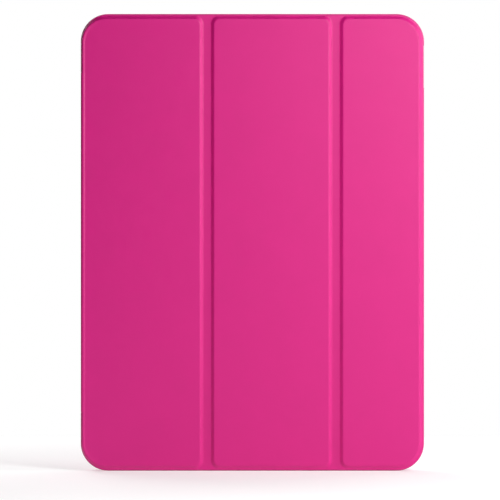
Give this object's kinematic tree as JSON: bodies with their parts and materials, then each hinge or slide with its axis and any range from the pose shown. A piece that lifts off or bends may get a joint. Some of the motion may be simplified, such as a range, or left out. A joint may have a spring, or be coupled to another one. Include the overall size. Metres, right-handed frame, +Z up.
{
  "type": "tablet case",
  "caption": "Tri-fold folio case: padded folding cover on a fabric spine, bumper shell with tablet pocket, stylus bay, camera opening and push buttons.",
  "frame": {"origin": "middle of the closed case's footprint, on the surface it stands on", "axes": "+X towards the cover's free edge, -Y out of the cover's outer face, +Y out of the back, +Z up along the long side"},
  "size_m": [0.1924, 0.0138, 0.256],
  "materials": {
    "skin": "smooth matt synthetic leather",
    "lining": "short microfibre nap",
    "board": "plain fibre board",
    "frame": "satin soft plastic",
    "plate": "fine matt texture",
    "button": "satin",
    "magnet": "nickel plated",
    "steel": "rolled"
  },
  "bodies": {
    "shell": {"bumper_frame": "frame", "back_plate": "plate", "camera_guard": "frame", "spine_flap": "skin"},
    "power_button": {"power_button": "button"},
    "volume_up_button": {"volume_up_button": "button"},
    "volume_down_button": {"volume_down_button": "button"},
    "rear_fold": {"rear_fold_skin": "skin"},
    "spine": {"spine_skin": "skin", "spine_stiffener": "board", "spine_lining": "lining"},
    "hinge_panel": {"hinge_panel_skin": "skin", "hinge_panel_board": "board", "hinge_panel_lining": "lining", "stand_keeper_strip": "steel"},
    "first_fold": {"first_fold_skin": "skin", "first_fold_lining": "lining"},
    "middle_panel": {"middle_panel_skin": "skin", "middle_panel_board": "board", "middle_panel_lining": "lining"},
    "second_fold": {"second_fold_skin": "skin", "second_fold_lining": "lining"},
    "edge_panel": {"edge_panel_skin": "skin", "edge_panel_board": "board", "edge_panel_lining": "lining", "closure_magnet_top": "magnet", "closure_magnet_middle": "magnet", "closure_magnet_bottom": "magnet", "wake_magnet": "magnet"}
  },
  "joints": [
    {"name": "rear_crease", "type": "hinge", "parent": "shell", "child": "rear_fold", "pos_m": [-0.0946, 0.00592, 0.128], "axis": [0, 0, -1], "range_deg": [0, 102.88]},
    {"name": "rear_crease_far_side", "type": "hinge", "parent": "rear_fold", "child": "spine", "pos_m": [-0.09585, 0.00468, 0.128], "axis": [0, 0, -1], "range_deg": [0, 102.88]},
    {"name": "front_crease", "type": "hinge", "parent": "spine", "child": "hinge_panel", "pos_m": [-0.09535, -0.00485, 0.128], "axis": [0, 0, -1], "range_deg": [0, 90]},
    {"name": "first_fold", "type": "hinge", "parent": "hinge_panel", "child": "first_fold", "pos_m": [-0.02715, -0.00485, 0.128], "axis": [0, 0, -1], "range_deg": [0, 71.12]},
    {"name": "first_fold_far_side", "type": "hinge", "parent": "first_fold", "child": "middle_panel", "pos_m": [-0.02365, -0.00485, 0.128], "axis": [0, 0, -1], "range_deg": [0, 71.12]},
    {"name": "second_fold", "type": "hinge", "parent": "middle_panel", "child": "second_fold", "pos_m": [0.04505, -0.00485, 0.128], "axis": [0, 0, -1], "range_deg": [0, 51]},
    {"name": "second_fold_far_side", "type": "hinge", "parent": "second_fold", "child": "edge_panel", "pos_m": [0.04855, -0.00485, 0.128], "axis": [0, 0, -1], "range_deg": [0, 51]},
    {"name": "power_press", "type": "slide", "parent": "shell", "child": "power_button", "axis": [0, 0, -1], "range_m": [0, 0.0007], "stiffness_N_per_m": 500},
    {"name": "volume_up_press", "type": "slide", "parent": "shell", "child": "volume_up_button", "axis": [-1, 0, 0], "range_m": [0, 0.0007], "stiffness_N_per_m": 500},
    {"name": "volume_down_press", "type": "slide", "parent": "shell", "child": "volume_down_button", "axis": [-1, 0, 0], "range_m": [0, 0.0007], "stiffness_N_per_m": 500}
  ],
  "couplings": [
    {"joint": "rear_crease_far_side", "follows": "rear_crease", "ratio": 1},
    {"joint": "first_fold_far_side", "follows": "first_fold", "ratio": 1},
    {"joint": "second_fold_far_side", "follows": "second_fold", "ratio": 1}
  ]
}
